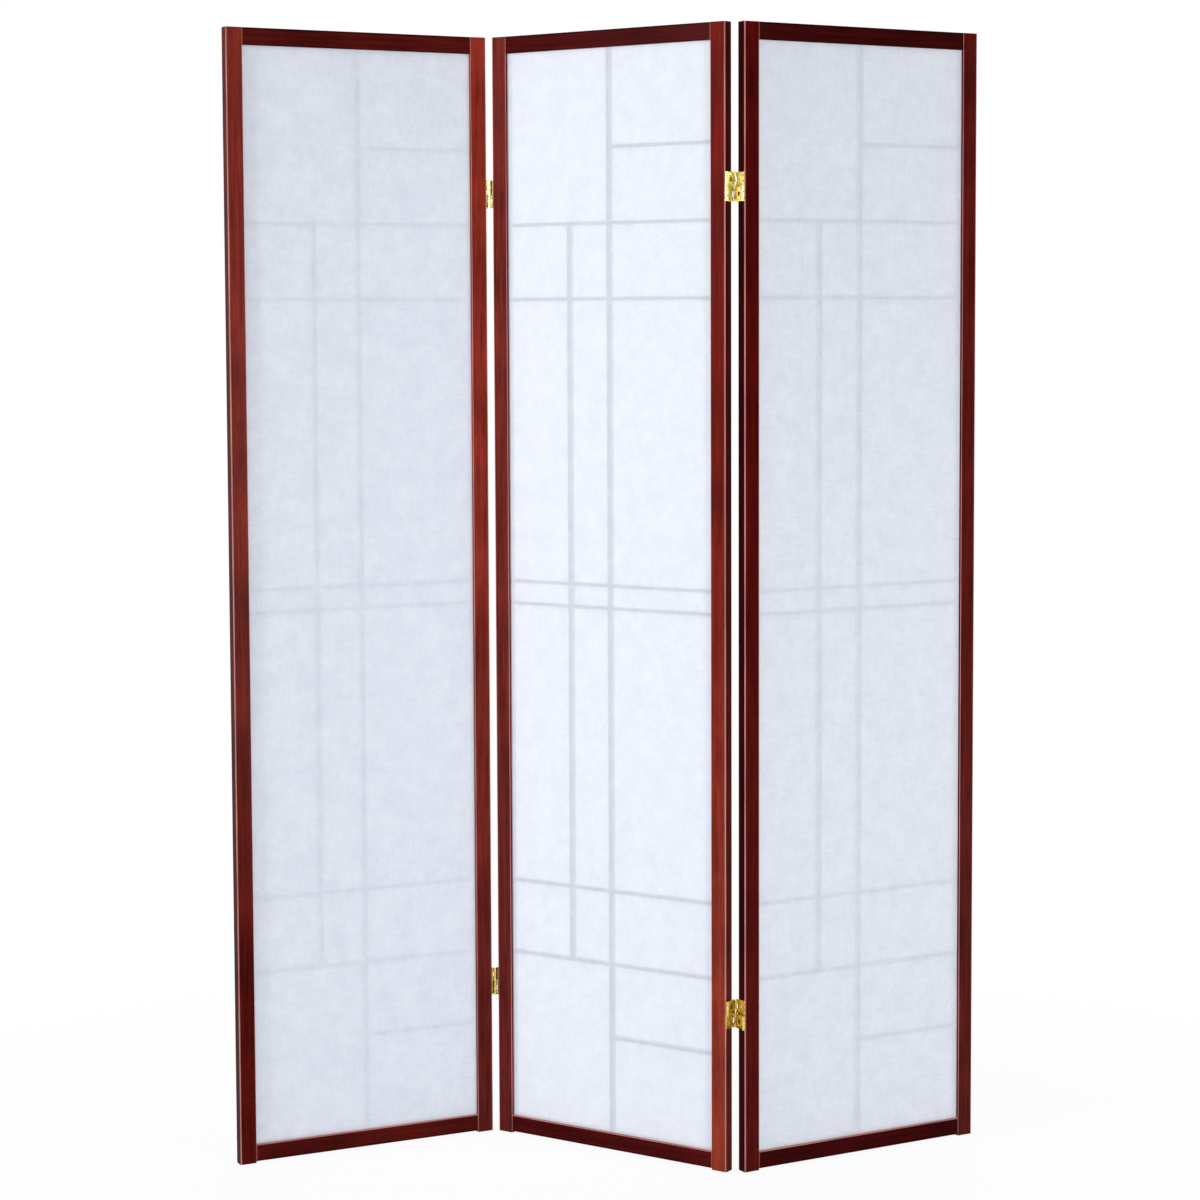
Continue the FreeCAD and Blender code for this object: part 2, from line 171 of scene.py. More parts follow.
def near(tree, value, target, reach):
    """1 where a value is within reach of a target, falling off softly to 0."""
    away = add_node(tree, "ShaderNodeMath", {0: value, 1: target}, operation="SUBTRACT")
    away = add_node(tree, "ShaderNodeMath", {0: away.outputs[0]}, operation="ABSOLUTE")
    fall = add_node(tree, "ShaderNodeMapRange", {"Value": away.outputs[0], "From Min": reach * 0.55,
                                                 "From Max": reach, "To Min": 1.0, "To Max": 0.0})
    return fall.outputs["Result"]


def any_of(tree, values):
    """Largest of several values."""
    largest = values[0]
    for value in values[1:]:
        largest = add_node(tree, "ShaderNodeMath", {0: largest, 1: value}, operation="MAXIMUM").outputs[0]
    return largest


def both_of(tree, first, second):
    """Smaller of two values."""
    return add_node(tree, "ShaderNodeMath", {0: first, 1: second}, operation="MINIMUM").outputs[0]


def arris_highlights(tree, place, front_back, outer_inner):
    """Where a stile's arrises get their painted highlight, by place on the panel."""
    parts = add_node(tree, "ShaderNodeSeparateXYZ", {"Vector": place})
    across, through = parts.outputs["X"], parts.outputs["Y"]
    front, back = front_back
    back_painted_light = add_node(tree, "ShaderNodeMath", {0: near(tree, through, back, ARRIS_HIGHLIGHT_DEPTH), 1: BACK_HIGHLIGHT_SHARE},
                         operation="MULTIPLY")
    faces = any_of(tree, [near(tree, through, front, ARRIS_HIGHLIGHT_DEPTH), back_painted_light.outputs[0]])
    outer, inner = outer_inner
    edges = any_of(tree, [near(tree, across, outer, ARRIS_HIGHLIGHT_WIDTH),
                          near(tree, across, inner, INNER_ARRIS_HIGHLIGHT_WIDTH)])
    return both_of(tree, faces, edges)


def shoulder_highlights(tree, place, shoulders):
    """Painted highlights in fine lines where a rail's shoulders meet the stiles."""
    across = add_node(tree, "ShaderNodeSeparateXYZ", {"Vector": place}).outputs["X"]
    return any_of(tree, [near(tree, across, shoulder, SHOULDER_HIGHLIGHT_WIDTH) for shoulder in shoulders])


def scaled(colour, share):
    """Colour times a share, as shader nodes take it."""
    return tuple(part * share for part in colour) + (1,)


def colour_by_height(tree, place, stain):
    """Colour along an upright piece, from its foot to its head; where the head is lighter, it is partly
    painted sheen.
    """
    head, foot = stain
    height = add_node(tree, "ShaderNodeSeparateXYZ", {"Vector": place}).outputs["Z"]
    rise = add_node(tree, "ShaderNodeMapRange", {"Value": height, "From Min": FOOT_STAIN_HEIGHT,
                                                 "From Max": HEAD_STAIN_HEIGHT})
    return mixed(tree, rise.outputs["Result"], scaled(foot, 1), scaled(head, 1))


def stained_wood(name, panel, grain, stain):
    """Cherry-stained wood of one panel, its grain upright or across, with its pores and gloss."""
    material, tree, lacquer = new_finish(name)
    stretch = (1, 1, GRAIN_STRETCH) if grain == "upright" else (GRAIN_STRETCH, 1, 1)
    place = panel_coordinates(tree, panel)
    along = add_node(tree, "ShaderNodeMapping", {"Vector": place, "Scale": stretch}).outputs["Vector"]
    streaks = add_node(tree, "ShaderNodeTexNoise", {"Vector": along, "Scale": STREAK_SCALE, "Detail": 5,
                                                    "Roughness": 0.6, "Distortion": 0.4}).outputs["Fac"]
    clouds = add_node(tree, "ShaderNodeTexNoise", {"Vector": place, "Scale": CLOUD_SCALE, "Detail": 3})
    pores = add_node(tree, "ShaderNodeTexNoise", {"Vector": along, "Scale": PORE_SCALE, "Detail": 2})
    pore_line = colour_steps(tree, pores.outputs["Fac"], [(0.60, shade(0)), (0.72, shade(0.8))])
    figure = mixed(tree, CLOUD_SHARE, streaks, clouds.outputs["Fac"])
    depth = colour_by_height(tree, place, stain) if isinstance(stain[0], tuple) else scaled(stain, 1)
    figure = colour_steps(tree, figure, [(0.36, shade(DEEP_SHARE)), (0.50, shade(1)),
                                         (0.66, shade(RUBBED_SHARE))])
    wood = mixed(tree, 1.0, figure, depth, blend="MULTIPLY")
    wood = mixed(tree, pore_line, wood, scaled(PORE_COLOUR, 1))
    gloss = colour_steps(tree, streaks, [(0.35, shade(LACQUER_ROUGHNESS)),
                                         (0.70, shade(LACQUER_ROUGHNESS + 0.10))])
    sunk = add_node(tree, "ShaderNodeMath", {0: 1.0, 1: pore_line}, operation="SUBTRACT")
    bump = add_node(tree, "ShaderNodeBump", {"Height": sunk.outputs[0], "Strength": 0.5,
                                             "Distance": PORE_DEPTH})
    tree.links.new(wood, lacquer.inputs["Base Color"])
    tree.links.new(gloss, lacquer.inputs["Roughness"])
    tree.links.new(bump.outputs["Normal"], lacquer.inputs["Normal"])
    lacquer.inputs["Specular IOR Level"].default_value = LACQUER_GLOSS
    return material, tree, lacquer, place, streaks, wood


def streaky_mark(tree, amount, streaks):
    """Painted mark of light or shade, made patchy along the grain."""
    half, whole = STREAKY_MARK_STEPS
    patchy = colour_steps(tree, streaks, [(half, shade(0.5)), (whole, shade(1))])
    return add_node(tree, "ShaderNodeMath", {0: amount, 1: patchy}, operation="MULTIPLY").outputs[0]


def shaded_edge(tree, value, edge, depth, wood):
    """Wood with painted shade on its narrow edge."""
    dark = mixed(tree, 1.0, wood, shade(EDGE_SHADE_SHARE), blend="MULTIPLY")
    return mixed(tree, near(tree, value, edge, depth), wood, dark)


def stile_wood(panel, stile):
    """Stile's wood, with painted shade on its narrow outer edge and a painted highlight along its arrises.
    """
    material, tree, lacquer, place, streaks, wood = stained_wood(
        f"cherry_{panel}_{stile}", panel, "upright", STILE_STAIN[panel][stile])
    across, front_back = span(f"{panel}_{stile}", panel)
    outer_inner = across if stile == "left_stile" else across[::-1]
    where = add_node(tree, "ShaderNodeSeparateXYZ", {"Vector": place}).outputs["X"]
    # painted shade on the stile's narrow outer edge
    wood = shaded_edge(tree, where, outer_inner[0], EDGE_SHADE_DEPTH, wood)
    # painted highlight: a pale line along the arrises, patchy along the grain
    painted_light = streaky_mark(tree, arris_highlights(tree, place, front_back, outer_inner), streaks)
    wood = mixed(tree, painted_light, wood, ARRIS_HIGHLIGHT_COLOUR)
    tree.links.new(wood, lacquer.inputs["Base Color"])
    return material


def rail_wood(panel, rail):
    """Rail's wood, with a painted highlight at each shoulder, painted shade on its outer edge, and painted
    shade on the top rail's lower edge and a painted highlight on the bottom rail's upper arris.
    """
    material, tree, lacquer, place, streaks, wood = stained_wood(
        f"cherry_{panel}_{rail}", panel, "across", RAIL_STAIN[panel])
    shoulders = (span(f"{panel}_left_stile", panel)[0][1], span(f"{panel}_right_stile", panel)[0][0])
    # painted highlight along each shoulder
    wood = mixed(tree, shoulder_highlights(tree, place, shoulders), wood, SHOULDER_HIGHLIGHT)
    low, high = (corner.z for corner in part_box(f"{panel}_{rail}"))
    outer, inner = (high, low) if rail == "top_rail" else (low, high)
    # painted shade on the top rail's lower edge, painted highlight on the bottom rail's upper arris
    inner_painted_mark, blend = (shade(EDGE_SHADE_SHARE), "MULTIPLY") if rail == "top_rail" else (ARRIS_HIGHLIGHT_COLOUR, "MIX")
    height = add_node(tree, "ShaderNodeSeparateXYZ", {"Vector": place}).outputs["Z"]
    # painted shade along the rail's outer edge
    wood = shaded_edge(tree, height, outer, RAIL_EDGE_SHADE_DEPTH, wood)
    painted_light = streaky_mark(tree, near(tree, height, inner, RAIL_INNER_MARK_REACH), streaks)
    wood = mixed(tree, painted_light, wood, inner_painted_mark, blend=blend)
    tree.links.new(wood, lacquer.inputs["Base Color"])
    return material


def finish_node(node, material):
    """Give a carried-over piece its material."""
    mesh = frame["nodes"][node].data
    mesh.materials.clear()
    mesh.materials.append(material)


for panel in PANELS:
    for stile in ("left_stile", "right_stile"):
        finish_node(f"{panel}_{stile}", stile_wood(panel, stile))
    for rail in ("top_rail", "bottom_rail"):
        finish_node(f"{panel}_{rail}", rail_wood(panel, rail))

# ---- Lattice bars ----
# Slender bars behind the paper, half lapped where they cross and housed in the frame.
# They are the same stained wood, cut with the grain along each bar.

BAR_STAIN = (0.150, 0.0105, 0.0060)
CROSSBARS = [f"crossbar_{number}" for number in range(1, 7)] + ["short_crossbars"]

for panel in PANELS:
    upright_bar_wood = stained_wood(f"cherry_{panel}_uprights", panel, "upright", BAR_STAIN)[0]
    cross_bar_wood = stained_wood(f"cherry_{panel}_crossbars", panel, "across", BAR_STAIN)[0]
    for bar in ("long_upright", "short_upright"):
        finish_node(f"{panel}_{bar}", upright_bar_wood)
    for bar in CROSSBARS:
        finish_node(f"{panel}_{bar}", cross_bar_wood)

# ---- Paper ----
# One sheet of long-fibred white paper to each panel, its edges held in a groove of the
# frame and its back pasted to the lattice bars. It has shrunk tight as the paste dried,
# with a faint cockle between the bars, and lets light through from behind.

PAPER_THICK = 0.0005
SHEET_COLUMNS = 48
SHEET_ROWS = 192
COCKLE = 0.00012            # how far the sheet stands off its plane
COCKLE_LENGTH = 0.11
PULP_SCALE = 28.0           # clouds of pulp to the metre
FIBRE_SCALE = 420.0         # fibres to the metre
PULP_STEPS = (0.41, 0.59)   # from cloudy to white
FIBRE_STRETCH = ((1, 1, 0.10), (0.16, 1, 1))   # most fibres lie up the sheet, the others across it
FIBRE_DEPTH = 0.0001
PAPER_WHITE = (0.794, 0.836, 0.924, 1)
PAPER_CLOUD = (0.708, 0.752, 0.850, 1)
PAPER_GLOW = (0.88, 0.90, 0.95, 1)
GLOW_THROUGH = {"left": 0.03, "centre": 0.08, "right": 0.04}    # light scattered through the sheet
CLEAR_THROUGH = {"left": 0.035, "centre": 0.12, "right": 0.05}  # light that passes straight through


def paper_finish(panel):
    """Translucent white paper with clouded pulp and fine fibres."""
    material, tree, surface = new_finish(f"fibre_paper_{panel}")
    place = panel_coordinates(tree, panel)
    clouds = add_node(tree, "ShaderNodeTexNoise", {"Vector": place, "Scale": PULP_SCALE, "Detail": 7,
                                                   "Roughness": 0.72})
    lanes = []
    for stretch in FIBRE_STRETCH:
        laid = add_node(tree, "ShaderNodeMapping", {"Vector": place, "Scale": stretch}).outputs["Vector"]
        lanes.append(add_node(tree, "ShaderNodeTexNoise", {"Vector": laid, "Scale": FIBRE_SCALE,
                                                           "Detail": 3, "Roughness": 0.6}).outputs["Fac"])
    fibres = add_node(tree, "ShaderNodeMath", {0: lanes[0], 1: lanes[1]}, operation="ADD")
    fibres = add_node(tree, "ShaderNodeMath", {0: fibres.outputs[0], 1: 0.5}, operation="MULTIPLY")
    pulp = mixed(tree, 0.50, clouds.outputs["Fac"], fibres.outputs[0])
    white = colour_steps(tree, pulp, list(zip(PULP_STEPS, (PAPER_CLOUD, PAPER_WHITE))))
    bump = add_node(tree, "ShaderNodeBump", {"Height": fibres.outputs[0], "Strength": 0.3,
                                             "Distance": FIBRE_DEPTH})
    tree.links.new(white, surface.inputs["Base Color"])
    tree.links.new(bump.outputs["Normal"], surface.inputs["Normal"])
    surface.inputs["Roughness"].default_value = 0.85
    surface.inputs["Specular IOR Level"].default_value = 0.15
    through = add_node(tree, "ShaderNodeBsdfTranslucent", {"Color": PAPER_GLOW,
                                                           "Normal": bump.outputs["Normal"]})
    both = add_node(tree, "ShaderNodeMixShader", {0: GLOW_THROUGH[panel], 1: surface.outputs["BSDF"],
                                                  2: through.outputs["BSDF"]})
    clear = add_node(tree, "ShaderNodeBsdfTransparent")
    sheer = add_node(tree, "ShaderNodeMixShader", {0: CLEAR_THROUGH[panel], 1: both.outputs[0],
                                                   2: clear.outputs["BSDF"]})
    tree.links.new(sheer.outputs[0], tree.nodes["Material Output"].inputs["Surface"])
    return material


def panel_matrix(panel):
    """From the panel's own lengths, seen from the middle of its paper, to the row frame."""
    return Matrix.Translation(middle(f"{panel}_paper")) @ Matrix.Rotation(panel_turn(panel), 4, "Z")


def sheet_size(panel):
    """Width and height of the panel's paper."""
    low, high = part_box(f"{panel}_paper")
    across = math.cos(panel_turn(panel))
    lean = abs(math.sin(panel_turn(panel)))
    return (high.x - low.x - PAPER_THICK * lean) / across, high.z - low.z


def paper_sheet(panel):
    """Sheet as a fine grid, with its cockle."""
    width, height = sheet_size(panel)
    points = []
    for row in range(SHEET_ROWS + 1):
        for column in range(SHEET_COLUMNS + 1):
            x = width * (column / SHEET_COLUMNS - 0.5)
            z = height * (row / SHEET_ROWS - 0.5)
            wave = math.sin(x / COCKLE_LENGTH * 7 + z * 3) * math.cos(z / COCKLE_LENGTH * 5 - x * 4)
            points.append((x, COCKLE * wave, z))
    faces = []
    step = SHEET_COLUMNS + 1
    for row in range(SHEET_ROWS):
        for column in range(SHEET_COLUMNS):
            corner = row * step + column
            faces.append((corner, corner + 1, corner + step + 1, corner + step))
    mesh = bpy.data.meshes.new(f"paper_sheet_{panel}")
    mesh.from_pydata(points, [], faces)
    mesh.polygons.foreach_set("use_smooth", [True] * len(faces))
    mesh.transform(panel_matrix(panel))
    mesh.materials.append(paper_finish(panel))
    sheet = bpy.data.objects.new(f"paper_sheet_{panel}", mesh)
    bpy.context.scene.collection.objects.link(sheet)
    return sheet


for panel in PANELS:
    sheet = paper_sheet(panel)
    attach(sheet, f"{panel}_panel")
    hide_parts(f"{panel}_paper")

# ---- Two-way hinges ----
# Each joint has two small brass hinges. A leaf of bent plate is screwed to the edge of each
# stile, its ends curled round the pins. Two links cross the gap between them, one to each
# half of the hinge, so that the screen folds to either side.

BRASS = (0.96, 0.89, 0.46, 1)
LOWER_BRASS = (0.78, 0.60, 0.18, 1)  # the lower hinges are darker
TARNISH = (0.60, 0.42, 0.12, 1)
BROWNED_AND_SHADED = (0.16, 0.09, 0.025, 1)       # browned in spots, and painted shade in the corners and under the knuckles
PLATE_SPOTS, SCREW_SPOTS = 330.0, 500.0    # to the metre
SPOT_STEPS = (0.38, 0.43, 0.47)        # from browned through tarnished to clear
DULL_HEIGHT, BRIGHT_HEIGHT = 0.4, 1.4
CREASE_SHADE_REACH = 0.0035
BRASS_ROUGHNESS = 0.20
HINGE_HALF_HEIGHT = 0.0225
PIN_OFFSET = 0.0025         # pin's middle from the face of the panels
GAP = 0.008
PLATE = 0.0012
CURL_RADIUS = 0.00184       # middle of the plate round the pin
CURL_BEND = 0.00085         # bend between a leaf and its curl
BEND_STEPS = 4
CURL_WRAP = math.radians(300)
KNUCKLE_GAP = 0.0003
LINK_MARGIN = 0.0003
LINK_LEAVING = math.radians(60)        # where a link's plate joins its curl
ACCESS_RADIUS = 0.0036      # hole in a link for the screwdriver
SOFTENED = 0.00012          # edges of the pressed plate
SCREW_HEIGHT = 0.01125
HEAD_RADIUS = 0.0026
HEAD_RISE = 0.00015
SLOT_REACH = 0.00155
SLOT_HALF_WIDTH = 0.0004
SLOT_DEPTH = 0.0009
SCREW_CORE, SCREW_THREAD = 0.0011, 0.0014
SCREW_TIP = 0.0003
SCREW_LENGTH = 0.0139
THREADS = 8
THREAD_PITCH = 0.0013
SMOOTH_ANGLE = math.radians(35)        # sharper edges than this stay crisp
BEVEL_ANGLE = math.radians(50)         # and those past this are softened
ROUND = 24
joint_place = {joint["name"]: joint["pos_m"] for joint in frame["joints"]}
thick = math.dist(joint_place["valley_fold"][:2], joint_place["valley_reverse"][:2]) - 2 * PIN_OFFSET


def brass(name, scale):
    """Polished brass, clouded and spotted by handling, darker in the lower hinges, with painted shade in
    its corners and creases.
    """
    material, tree, metal = new_finish(name)
    place = add_node(tree, "ShaderNodeTexCoord").outputs["Object"]
    clouds = add_node(tree, "ShaderNodeTexNoise", {"Vector": place, "Scale": scale, "Detail": 5,
                                                   "Roughness": 0.65})
    height = add_node(tree, "ShaderNodeSeparateXYZ", {"Vector": place}).outputs["Z"]
    upper = add_node(tree, "ShaderNodeMapRange", {"Value": height, "From Min": DULL_HEIGHT,
                                                  "From Max": BRIGHT_HEIGHT})
    brass_by_height = mixed(tree, upper.outputs["Result"], LOWER_BRASS, BRASS)
    spots = colour_steps(tree, clouds.outputs["Fac"], list(zip(SPOT_STEPS, (BROWNED_AND_SHADED, TARNISH, shade(1)))))
    tone = mixed(tree, 1.0, spots, brass_by_height, blend="MULTIPLY")
    # painted shade: dark brown where parts stand close, in corners and creases
    corners = add_node(tree, "ShaderNodeAmbientOcclusion", {"Distance": CREASE_SHADE_REACH}, samples=8)
    unshaded_metal = colour_steps(tree, corners.outputs["AO"], [(0.35, shade(0)), (0.85, shade(1))])
    tone = mixed(tree, unshaded_metal, BROWNED_AND_SHADED, tone)
    haze = colour_steps(tree, clouds.outputs["Fac"], [(0.38, shade(BRASS_ROUGHNESS + 0.2)),
                                                      (0.60, shade(BRASS_ROUGHNESS))])
    tree.links.new(tone, metal.inputs["Base Color"])
    tree.links.new(haze, metal.inputs["Roughness"])
    metal.inputs["Metallic"].default_value = 1.0
    return material


def arc(middle_spot, radius, start, sweep, steps):
    """Points along an arc in plan."""
    turns = [start + sweep * step / steps for step in range(steps + 1)]
    x, y = middle_spot
    return [(x + radius * math.cos(turn), y + radius * math.sin(turn)) for turn in turns]


def bent_strip(path, low, high):
    """Strip of plate bent along a path in plan, between two heights."""
    points, faces = [], []
    for index, spot in enumerate(path):
        ahead = Vector(path[min(index + 1, len(path) - 1)]) - Vector(path[max(index - 1, 0)])
        side = Vector((-ahead.y, ahead.x)).normalized() * PLATE / 2
        inner, outer = Vector(spot) + side, Vector(spot) - side
        points += [(*inner, low), (*outer, low), (*outer, high), (*inner, high)]
    for station in range(0, len(points) - 4, 4):
        for corner in range(4):
            follow = (corner + 1) % 4
            faces.append((station + corner, station + follow, station + 4 + follow, station + 4 + corner))
    last = len(points) - 4
    return points, faces + [(3, 2, 1, 0), (last, last + 1, last + 2, last + 3)]


def knuckle_spans():
    """Heights of the three knuckles of a hinge's upper half."""
    length = (HINGE_HALF_HEIGHT - 2.5 * KNUCKLE_GAP) / 3
    lows = [KNUCKLE_GAP / 2 + number * (length + KNUCKLE_GAP) for number in range(3)]
    return [(low, low + length) for low in lows]


def half_turn(solid, axis):
    """The same piece turned half round about the middle of the gap."""
    about = Matrix.Translation((0, thick / 2, 0))
    turn = about @ Matrix.Rotation(math.pi, 4, axis) @ about.inverted()
    return [turn @ Vector(point) for point in solid[0]], solid[1]


def leaf():
    """Left leaf: its plate, with curls on the paper side above and on the lattice side below."""
    plate_x = (PLATE - GAP) / 2
    plate = bent_strip([(plate_x, 0), (plate_x, thick)], -HINGE_HALF_HEIGHT, HINGE_HALF_HEIGHT)
    bend = arc((plate_x + CURL_BEND, CURL_RADIUS - PIN_OFFSET + CURL_BEND), CURL_BEND,
               math.pi, math.pi / 2, BEND_STEPS)
    curl_path = bend + arc((0, -PIN_OFFSET), CURL_RADIUS, math.pi / 2, -CURL_WRAP, ROUND)
    low, _, high = knuckle_spans()
    curls = [bent_strip(curl_path, *low), bent_strip(curl_path, *high)]
    return [plate] + curls + [half_turn(curl, "X") for curl in curls]


def holed_plate(y_span, z_span, hole):
    """Upright plate in the middle of the gap, with a round hole in the middle of it."""
    middle_y, middle_z = sum(y_span) / 2, sum(z_span) / 2
    half_y, half_z = (y_span[1] - y_span[0]) / 2, (z_span[1] - z_span[0]) / 2
    points, faces = [], []
    for step in range(ROUND):
        turn = 2 * math.pi * (step + 0.5) / ROUND
        y, z = math.cos(turn), math.sin(turn)
        reach = 1 / max(abs(y) / half_y, abs(z) / half_z)
        for x in (-PLATE / 2, PLATE / 2):
            points.append((x, middle_y + hole * y, middle_z + hole * z))
            points.append((x, middle_y + reach * y, middle_z + reach * z))
    corners = [min(range(ROUND), key=lambda step: math.dist(points[4 * step + 1][1:], (y, z)))
               for y in y_span for z in z_span]
    for step, (y, z) in zip(corners, [(y, z) for y in y_span for z in z_span]):
        for side, x in ((1, -PLATE / 2), (3, PLATE / 2)):
            points[4 * step + side] = (x, y, z)
    for step in range(ROUND):
        here, there = 4 * step, 4 * ((step + 1) % ROUND)
        faces += [(here, there, there + 1, here + 1), (here + 2, here + 3, there + 3, there + 2),
                  (here, here + 2, there + 2, there), (here + 1, there + 1, there + 3, here + 3)]
    return points, faces


def link():
    """Upper link: a plate across the gap, curled round a pin at each face of the panels."""
    low, middle_span, high = knuckle_spans()
    plate = holed_plate((LINK_MARGIN, thick - LINK_MARGIN), (low[0], high[1]), ACCESS_RADIUS)
    curl_path = [(0, LINK_MARGIN), (0, 0), (0.0001, -0.00025), (0.0004, -0.0006)]
    curl_path += arc((0, -PIN_OFFSET), CURL_RADIUS, LINK_LEAVING, -CURL_WRAP, ROUND)
    curl = bent_strip(curl_path, *middle_span)
    return [plate, curl, half_turn(curl, "Z")]


def lower_link():
    """The same link in the hinge's lower half."""
    return [half_turn(solid, "X") for solid in link()]


def screw_head_slot(turned):
    """Cross-shaped recess, as a loop of points that matches the head's rim."""
    wide, far, between = SLOT_HALF_WIDTH, SLOT_REACH, (SLOT_HALF_WIDTH + SLOT_REACH) / 2
    arm = [(far, 0), (far, wide), (between, wide), (wide, wide), (wide, between), (wide, far)]
    loop = [Matrix.Rotation(turned + math.pi / 2 * quarter, 2) @ Vector(spot)
            for quarter in range(4) for spot in arm]
    return [tuple(spot) for spot in loop]


def screw(turned):
    """Countersunk screw with a cross recess and a thread, through the left leaf into the stile."""
    rims = [(HEAD_RISE, HEAD_RADIUS - 0.0003), (0, HEAD_RADIUS), (-PLATE, SCREW_THREAD)]
    for ridge in range(THREADS):
        depth = PLATE + 0.0008 + ridge * THREAD_PITCH
        rims += [(-depth, SCREW_CORE), (-depth - 0.0004, SCREW_THREAD), (-depth - 0.0008, SCREW_CORE)]
    rims.append((-SCREW_LENGTH, SCREW_TIP))
    slot = screw_head_slot(turned)
    loops = [[(HEAD_RISE - SLOT_DEPTH, 0.6 * y, 0.6 * z) for y, z in slot],
             [(HEAD_RISE, y, z) for y, z in slot]]
    for depth, radius in rims:
        loops.append([(depth, radius * math.cos(turned + 2 * math.pi * step / ROUND),
                       radius * math.sin(turned + 2 * math.pi * step / ROUND)) for step in range(ROUND)])
    face_x = PLATE - GAP / 2
    points = [(face_x + x, thick / 2 + y, SCREW_HEIGHT + z) for loop in loops for x, y, z in loop]
    faces = [tuple(range(ROUND)), tuple(range(len(points) - ROUND, len(points)))]
    for start in range(0, len(points) - ROUND, ROUND):
        for step in range(ROUND):
            follow = (step + 1) % ROUND
            faces.append((start + step, start + follow, start + ROUND + follow, start + ROUND + step))
    return points, faces


def screws():
    """Both screws of a left leaf, as they happened to stop turning."""
    return [screw(0.5), half_turn(screw(1.1), "X")]


def hinge_place(front_joint, back_joint):
    """From a hinge's own lengths to the row frame, by the pins at the front and the back."""
    front, back = Vector(joint_place[front_joint]), Vector(joint_place[back_joint])
    through = (back - front).normalized()
    across = Vector((through.y, -through.x, 0))
    face = front + through * PIN_OFFSET
    place = Matrix((across, through, (0, 0, 1))).transposed().to_4x4()
    place.translation = (face.x, face.y, 0)
    return place


def hinge_heights():
    """Middle height of the lower and upper hinges."""
    low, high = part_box("ridge_leaves_centre")
    return low.z + HINGE_HALF_HEIGHT, high.z - HINGE_HALF_HEIGHT


def hinge_piece(name, groups, body, node, material):
    """One mesh of hinge pieces, each group in its own place at both heights."""
    shape = bmesh.new()
    for solids, place in groups:
        for height in hinge_heights():
            for points, faces in solids:
                lift = place @ Matrix.Translation((0, 0, height))
                corners = [shape.verts.new(lift @ Vector(point)) for point in points]
                for face in faces:
                    shape.faces.new([corners[number] for number in face])
    bmesh.ops.recalc_face_normals(shape, faces=shape.faces)
    mesh = bpy.data.meshes.new(name)
    shape.to_mesh(mesh)
    shape.free()
    mesh.materials.append(material)
    mesh.polygons.foreach_set("use_smooth", [True] * len(mesh.polygons))
    mesh.set_sharp_from_angle(angle=SMOOTH_ANGLE)
    piece = bpy.data.objects.new(name, mesh)
    bpy.context.scene.collection.objects.link(piece)
    edges = piece.modifiers.new("softened_edges", "BEVEL")
    edges.width = SOFTENED
    edges.segments = 2
    edges.limit_method = "ANGLE"
    edges.angle_limit = BEVEL_ANGLE
    edges.harden_normals = True
    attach(piece, body)
    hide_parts(node)


def turned_about(solids):
    """Pieces of the right leaf, from those of the left one."""
    return [half_turn(solid, "Z") for solid in solids]


plate_brass, screw_brass = brass("hinge_brass", PLATE_SPOTS), brass("screw_brass", SCREW_SPOTS)
valley_centre = hinge_place("valley_fold", "valley_reverse")
valley_left = hinge_place("valley_fold", "valley_lower_link")
ridge_centre = hinge_place("ridge_reverse", "ridge_fold")
ridge_right = hinge_place("ridge_lower_link", "ridge_fold")
HINGE_PIECES = [
    ("valley_leaves_left", [(leaf(), valley_left)], "left_panel"),
    ("valley_leaves_centre", [(turned_about(leaf()), valley_centre)], "centre_panel"),
    ("ridge_leaves_centre", [(leaf(), ridge_centre)], "centre_panel"),
    ("ridge_leaves_right", [(turned_about(leaf()), ridge_right)], "right_panel"),
    ("valley_upper_links", [(link(), valley_centre)], "valley_upper_links"),
    ("valley_lower_links", [(lower_link(), valley_left)], "valley_lower_links"),
    ("ridge_upper_links", [(link(), ridge_centre)], "ridge_upper_links"),
    ("ridge_lower_links", [(lower_link(), ridge_right)], "ridge_lower_links"),
]
SCREW_PIECES = [
    ("hinge_screws_left", [(screws(), valley_left)], "left_panel"),
    ("hinge_screws_centre", [(turned_about(screws()), valley_centre), (screws(), ridge_centre)],
     "centre_panel"),
    ("hinge_screws_right", [(turned_about(screws()), ridge_right)], "right_panel"),
]
for node, groups, body in HINGE_PIECES:
    hinge_piece(f"brass_{node}", groups, body, node, plate_brass)
for node, groups, body in SCREW_PIECES:
    hinge_piece(f"brass_{node}", groups, body, node, screw_brass)
for panel in PANELS:
    finish_node(f"hinge_pins_{panel}", plate_brass)

# ---- Floor and light ----
# A plain white floor that keeps a soft shadow, a white surround, a tall light in front
# on the left, a weaker one on the right and a broad one behind, which shines through the paper.

FLOOR_SIDES = 64
FLOOR_RADIUS = 14.0
FLOOR_HEIGHT = -0.0005
FLOOR_WHITE = (0.90, 0.90, 0.90, 1)
SHADOW_RADIUS = 0.7         # the shadow shows within this of the screen's middle
NEAR_WHITE = 0.93           # how far the floor shows as plain white there
SURROUND_LEVEL = 0.42       # of the white surround as light on the screen


